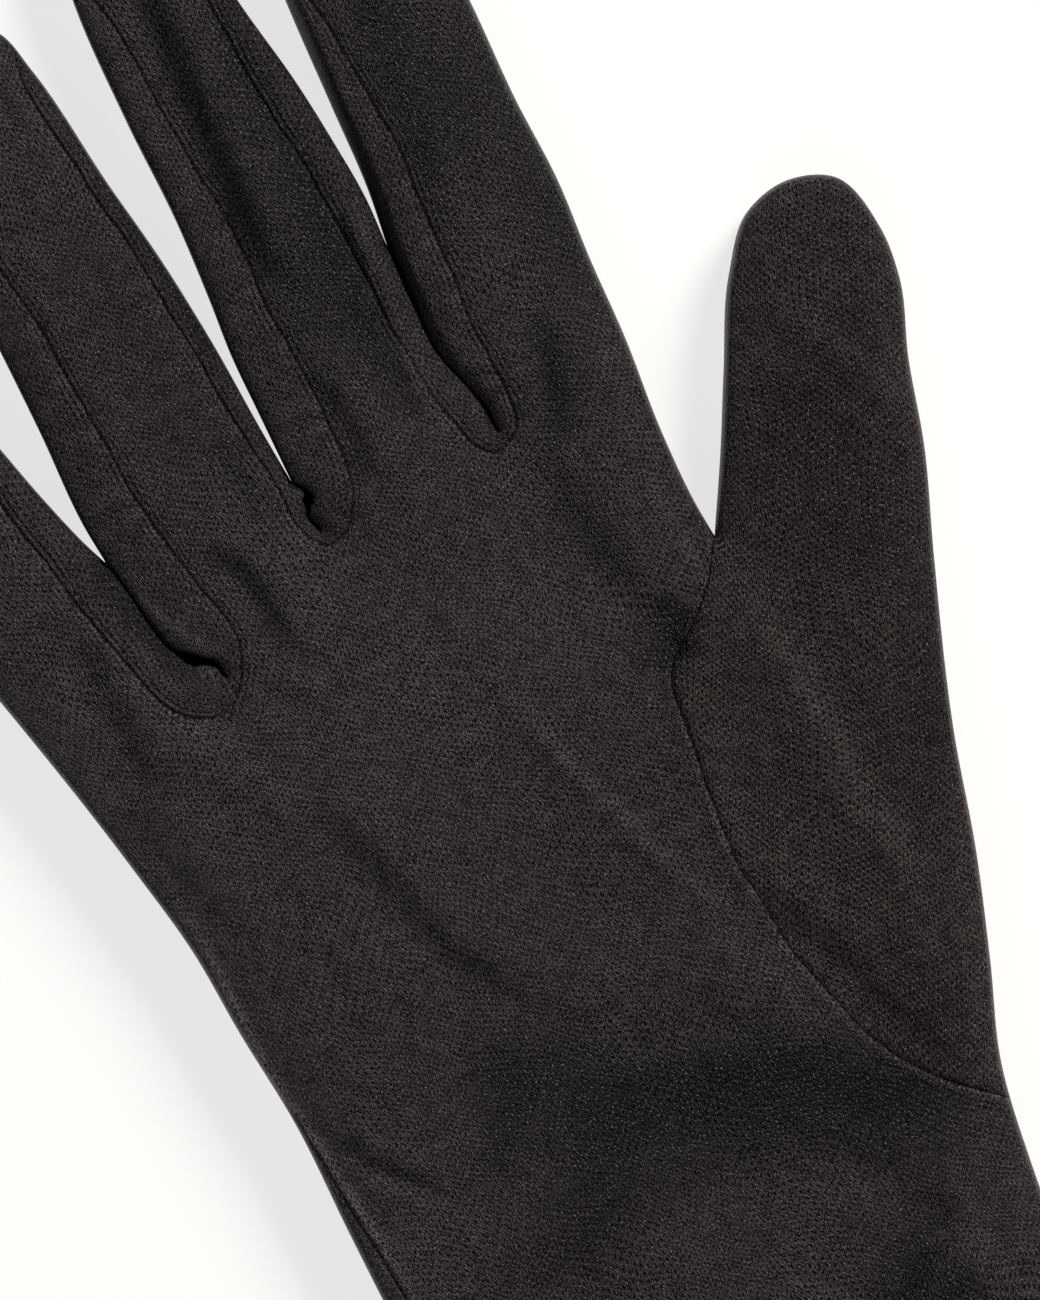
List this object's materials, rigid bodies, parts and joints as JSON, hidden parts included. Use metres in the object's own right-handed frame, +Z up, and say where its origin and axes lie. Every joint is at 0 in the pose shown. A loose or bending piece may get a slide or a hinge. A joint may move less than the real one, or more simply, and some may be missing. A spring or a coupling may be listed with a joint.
{
  "type": "knitted silk glove liner",
  "caption": "Thin knitted silk liner for the right hand, lying flat with its palm up: one cloth for palm and back, a set-in thumb, side strips between the fingers, open at the wrist.",
  "frame": {"origin": "under the middle of the glove's bounding box, on the surface that it lies on", "axes": "+Y from the wrist's edge to the fingertips, +X to the thumb's side, +Z up, out of the palm"},
  "size_m": [0.141, 0.246, 0.0103],
  "materials": {
    "trank_silk": "fine black interlock knit of silk, its ribs along the glove, with a soft low sheen",
    "thumb_silk": "the same black silk knit, its ribs along the thumb",
    "side_strip_silk": "the same black silk knit in narrow strips, with a seam along each side"
  },
  "bodies": {
    "root": {"trank_palm": "trank_silk", "trank_back": "trank_silk", "thumb_palm": "thumb_silk", "thumb_back": "thumb_silk", "fourchette_index_middle": "side_strip_silk", "fourchette_middle_ring": "side_strip_silk", "fourchette_ring_little": "side_strip_silk"}
  },
  "joints": []
}
